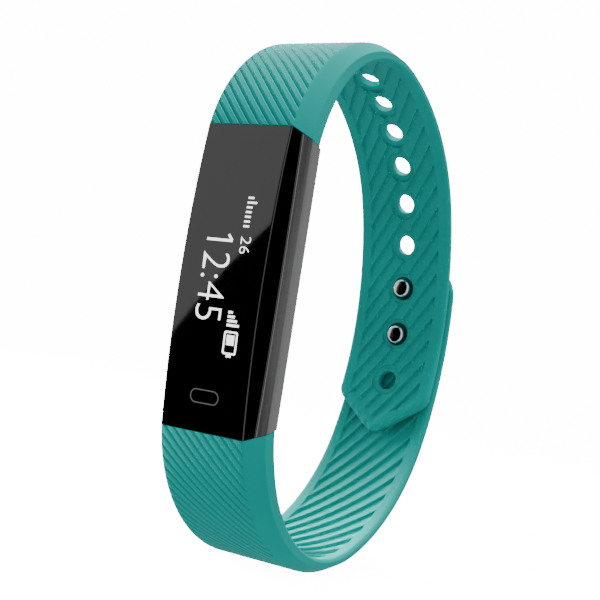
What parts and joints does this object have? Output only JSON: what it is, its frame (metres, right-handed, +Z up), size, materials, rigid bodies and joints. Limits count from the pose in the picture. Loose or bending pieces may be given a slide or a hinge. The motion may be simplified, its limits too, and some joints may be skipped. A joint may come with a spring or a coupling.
{
  "type": "fitness tracker band",
  "caption": "Slim wrist-worn activity tracker: a long bevelled window in a metal frame between two ribbed elastomer straps that close with a pegged clasp.",
  "frame": {"origin": "middle of the closed loop, on the wrist's axis and half way across the band's width", "axes": "+Z up along the tracker's window, +X from the tracker across the loop to the clasp, +Y along the wrist"},
  "size_m": [0.0503, 0.016, 0.0741],
  "materials": {
    "strap": "moulded elastomer, satin, teal",
    "window": "black tinted window, polished",
    "frame": "brushed along its length, grey, satin",
    "cover": "fine matt moulding, black",
    "seal": "matt",
    "display": "display glass, dark",
    "flex": "amber film",
    "board": "green solder mask, satin",
    "chip": "matt black",
    "ceramic": "matt off-white",
    "gold": "gold plated, satin",
    "battery": "foil, satin",
    "foam": "adhesive foam, matt",
    "red_wire": "red sleeve",
    "black_wire": "black sleeve",
    "chrome": "polished"
  },
  "bodies": {
    "tracker": {"front_window": "window", "window_gasket": "seal", "display_panel": "display", "display_flex": "flex", "touch_pad": "gold", "housing_frame": "frame", "cover_seal": "seal", "rear_cover": "cover", "main_board": "board", "processor_chip": "chip", "motion_sensor": "chip", "charging_chip": "chip", "radio_antenna": "ceramic", "battery_pad": "foam", "battery_cell": "battery", "battery_lead_positive": "red_wire", "battery_lead_negative": "black_wire", "vibration_motor": "battery", "charging_tongue": "cover", "charging_contact_1": "gold", "charging_contact_2": "gold", "charging_contact_3": "gold", "charging_contact_4": "gold", "hole_strap": "strap", "clasp_strap": "strap"},
    "strap_tail": {"hole_strap_tail": "strap"},
    "clasp_end": {"clasp_strap_end": "strap", "clasp_plate": "chrome", "clasp_peg_upper": "chrome", "clasp_peg_lower": "chrome"}
  },
  "joints": [
    {"name": "clasp_peel", "type": "hinge", "parent": "tracker", "child": "clasp_end", "pos_m": [0.02195, 0, -0.01832], "axis": [0, 1, 0], "range_deg": [0, 60], "stiffness_Nm_per_rad": 0.007, "springref_deg": -8.59},
    {"name": "tail_flex", "type": "hinge", "parent": "tracker", "child": "strap_tail", "pos_m": [0.01927, 0, 0.01576], "axis": [0, 1, 0], "range_deg": [0, 30], "stiffness_Nm_per_rad": 0.007, "springref_deg": -5.73}
  ]
}
